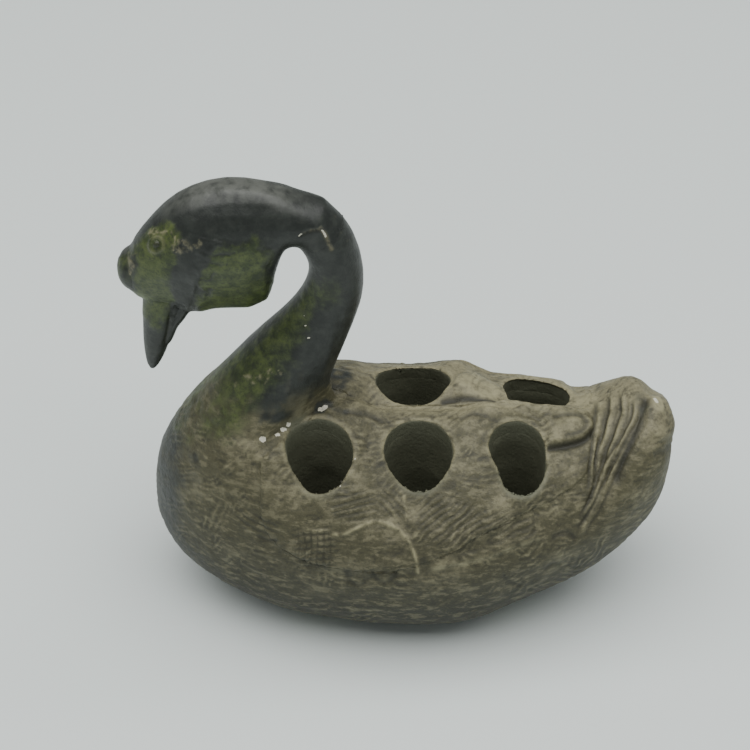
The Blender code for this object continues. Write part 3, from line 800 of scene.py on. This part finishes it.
patchy = combineValues(tree, "ADD", broad, times(tree, medium, 0.6))
uneven = rampValue(tree, medium, 0.30, 0.62)
glazed = combineValues(tree, "MAXIMUM", layers["moss"], layers["slate"])
worn = times(tree, layers["pale"], uneven)
glazeEdge = times(tree, combineValues(tree, "SUBTRACT", patchy, 0.8), 1.1)
mossy = combineValues(tree, "ADD", layers["moss"], glazeEdge)
slaty = combineValues(tree, "ADD", layers["slate"], glazeEdge)
speckle = (clayIn, "Speckle")
spots = times(tree, rampValue(tree, fine, 0.52, 0.68), speckle)
bright = combineValues(tree, "ADD", times(tree, layers["tan"], 0.9), 0.22)
flecks = times(tree, rampValue(tree, fine, 0.50, 0.62), layers["moss"])
mottle = combineValues(tree, "SUBTRACT", medium, 0.5)
chipped = combineValues(tree, "ADD", layers["chip"], times(tree, mottle, 0.5))
slate = mixColour(tree, rampValue(tree, medium, 0.35, 0.72), (clayIn, "Slate"),
                  (clayIn, "SlateLight"))
moss = mixColour(tree, rampValue(tree, medium, 0.32, 0.70), (clayIn, "Moss"), (clayIn, "MossLight"))

# each coat covers the ones before it: first the bare clay with its painted shade, then the glazes,
# then the wear and the painted highlight on the crown
coats = [
    (rampValue(tree, patchy, 0.76, 1.14), (clayIn, "Tan")),
    (layers["tan"], (clayIn, "Tan")),
    # painted shade, low on the sides and where they face down
    (layers["painted_shade"], (clayIn, "Wash")),
    (times(tree, rampValue(tree, streaks, 0.51, 0.62), 0.4), (clayIn, "Tan")),
    (times(tree, rampValue(tree, streaks, 0.46, 0.36), 0.45), (clayIn, "Groove")),
    (times(tree, spots, bright), (clayIn, "Pale")),
    (times(tree, rampValue(tree, fine, 0.46, 0.34), speckle), (clayIn, "Groove")),
    (worn, (clayIn, "Pale")),
    (layers["groove"], (clayIn, "Groove")),
    (rampValue(tree, slaty, 0.22, 0.85), slate),
    (rampValue(tree, mossy, 0.15, 0.95), moss),
    (times(tree, layers["groove"], 0.75), (clayIn, "Groove")),
    (times(tree, flecks, 0.5), (clayIn, "Slate")),
    (times(tree, worn, times(tree, glazed, 0.8)), (clayIn, "Tan")),
    # painted highlight on the upward-facing crown
    (times(tree, layers["crown_highlight"], rampValue(tree, patchy, 0.55, 0.95)), (clayIn, "Dust")),
    (layers["inside"], (clayIn, "Inside")),
    (rampValue(tree, chipped, 0.45, 0.6), (clayIn, "Chip")),
]
ground = (clayIn, "Ground")
for cover, colour in coats:
    ground = mixColour(tree, cover, ground, colour)
feed(tree, clayOut.inputs["Color"], ground)

# the glazes shine a little more than the clay
shine = combineValues(tree, "ADD", times(tree, fine, 0.25), 0.5)
shine = combineValues(tree, "SUBTRACT", shine, times(tree, glazed, 0.18))
feed(tree, clayOut.inputs["Roughness"], shine)
relief = combineValues(tree, "ADD", times(tree, medium, 0.6), times(tree, fine, 0.4))
feed(tree, clayOut.inputs["Height"], relief)


def glazeFor(name, colours, bump):
    material = bpy.data.materials.new(name)
    material.use_nodes = True
    tree = material.node_tree
    shader = tree.nodes["Principled BSDF"]
    group = tree.nodes.new("ShaderNodeGroup")
    group.node_tree = clayGroup
    for socket, value in colours.items():
        group.inputs[socket].default_value = value
    grain = addNode(tree, "ShaderNodeBump", {"Height": (group, "Height"), "Distance": bump * mm,
                                             "Strength": 1.0})
    for socket, source in (("Base Color", (group, "Color")), ("Roughness", (group, "Roughness")),
                           ("Normal", (grain, "Normal"))):
        feed(tree, shader.inputs[socket], source)
    return material


glazes = {
    "body_glaze": ({"Speckle": 0.34}, 0.35),
    "wing_glaze": ({"Speckle": 0.34}, 0.35),
    "tail_glaze": ({"Speckle": 0.34}, 0.35),
    "neck_glaze": ({"Speckle": 0.25}, 0.15),
    "head_glaze": ({"Speckle": 0.2}, 0.12),
    "bill_glaze": ({"Speckle": 0.2}, 0.10),
    "knob_glaze": ({"Speckle": 0.3}, 0.10),
    "eye_glaze": ({"Speckle": 0.1}, 0.05),
}
materials = {name: glazeFor(name, *values) for name, values in glazes.items()}
for name, piece in finished.items():
    slotName = pieces[name]["slot"]
    piece.data.materials.append(materials[slotName])
    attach(piece, "root")
    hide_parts(name)
print("glazes made")

# The table, the light and the camera.
studio = {"target": (-6.85 * mm, 0.0, 50.0 * mm), "distance": 380 * mm, "lens": 97.6,
          "sky": 0.26, "lamp": 11.0, "lampSize": 1.4, "lampLength": 0.9,
          "lampPlace": (0.0, -0.05, 0.8)}
deselectAll()
bpy.ops.mesh.primitive_plane_add(size=6.0, location=(0.0, 0.0, 0.0))
table = bpy.context.object
table.name = "table"
paper = bpy.data.materials.new("pale_paper")
paper.use_nodes = True
paperShader = paper.node_tree.nodes["Principled BSDF"]
paperShader.inputs["Base Color"].default_value = (0.80, 0.86, 0.83, 1)
paperShader.inputs["Roughness"].default_value = 0.6
table.data.materials.append(paper)

sky = bpy.data.worlds.new("softRoom")
bpy.context.scene.world = sky
sky.use_nodes = True
skyNode = sky.node_tree.nodes["Background"]
skyNode.inputs["Color"].default_value = (0.95, 0.98, 1.0, 1)
skyNode.inputs["Strength"].default_value = studio["sky"]

lampData = bpy.data.lights.new("softbox", "AREA")
lampData.shape = "RECTANGLE"
lampData.size = studio["lampSize"]
lampData.size_y = studio["lampLength"]
lampData.energy = studio["lamp"]
lamp = bpy.data.objects.new("softbox", lampData)
bpy.context.scene.collection.objects.link(lamp)
lamp.location = studio["lampPlace"]
lamp.rotation_euler = (-lamp.location).to_track_quat("-Z", "Y").to_euler()

target = Vector(studio["target"])
back = Vector((0.0, -leanRise, leanBack))
cameraData = bpy.data.cameras.new("camera")
cameraData.lens = studio["lens"]
camera = bpy.data.objects.new("camera", cameraData)
bpy.context.scene.collection.objects.link(camera)
camera.location = target + back * studio["distance"]
camera.rotation_euler = (-back).to_track_quat("-Z", "Y").to_euler()
bpy.context.scene.camera = camera

print("ready")
